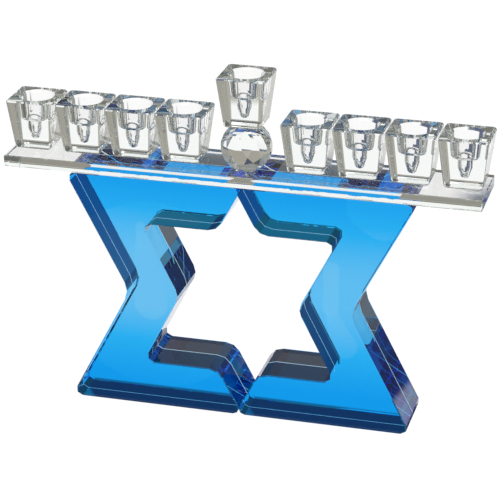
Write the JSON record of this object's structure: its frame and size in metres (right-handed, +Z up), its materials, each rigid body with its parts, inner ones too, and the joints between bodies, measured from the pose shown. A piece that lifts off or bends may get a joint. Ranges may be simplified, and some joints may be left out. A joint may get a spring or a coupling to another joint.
{
  "type": "menorah",
  "caption": "Crystal menorah: square candle cups along a clear bar, the middle one raised on a faceted ball, over two blue glass brackets that frame an open star.",
  "frame": {"origin": "floor level, under the middle of the bar", "axes": "+X along the bar to the right seen from the front, +Y to the back, +Z up"},
  "size_m": [0.2848, 0.0414, 0.2098],
  "materials": {
    "clear_crystal": "polished",
    "blue_crystal": "polished",
    "clear_adhesive": "clear cured adhesive",
    "blue_bond_line": "clear cured adhesive"
  },
  "bodies": {
    "root": {"ball_lower_bond": "clear_adhesive", "ball_upper_bond": "clear_adhesive", "candle_cup_1": "clear_crystal", "candle_cup_2": "clear_crystal", "candle_cup_3": "clear_crystal", "candle_cup_4": "clear_crystal", "candle_cup_5": "clear_crystal", "candle_cup_6": "clear_crystal", "candle_cup_7": "clear_crystal", "candle_cup_8": "clear_crystal", "cup_bond_1": "clear_adhesive", "cup_bond_2": "clear_adhesive", "cup_bond_3": "clear_adhesive", "cup_bond_4": "clear_adhesive", "cup_bond_5": "clear_adhesive", "cup_bond_6": "clear_adhesive", "cup_bond_7": "clear_adhesive", "cup_bond_8": "clear_adhesive", "faceted_ball": "clear_crystal", "left_bar_bond": "clear_adhesive", "left_front_plate": "blue_crystal", "left_mid_bond": "blue_bond_line", "left_rear_plate": "blue_crystal", "right_bar_bond": "clear_adhesive", "right_front_plate": "blue_crystal", "right_mid_bond": "blue_bond_line", "right_rear_plate": "blue_crystal", "shamash_cup": "clear_crystal", "top_bar": "clear_crystal"}
  },
  "joints": []
}
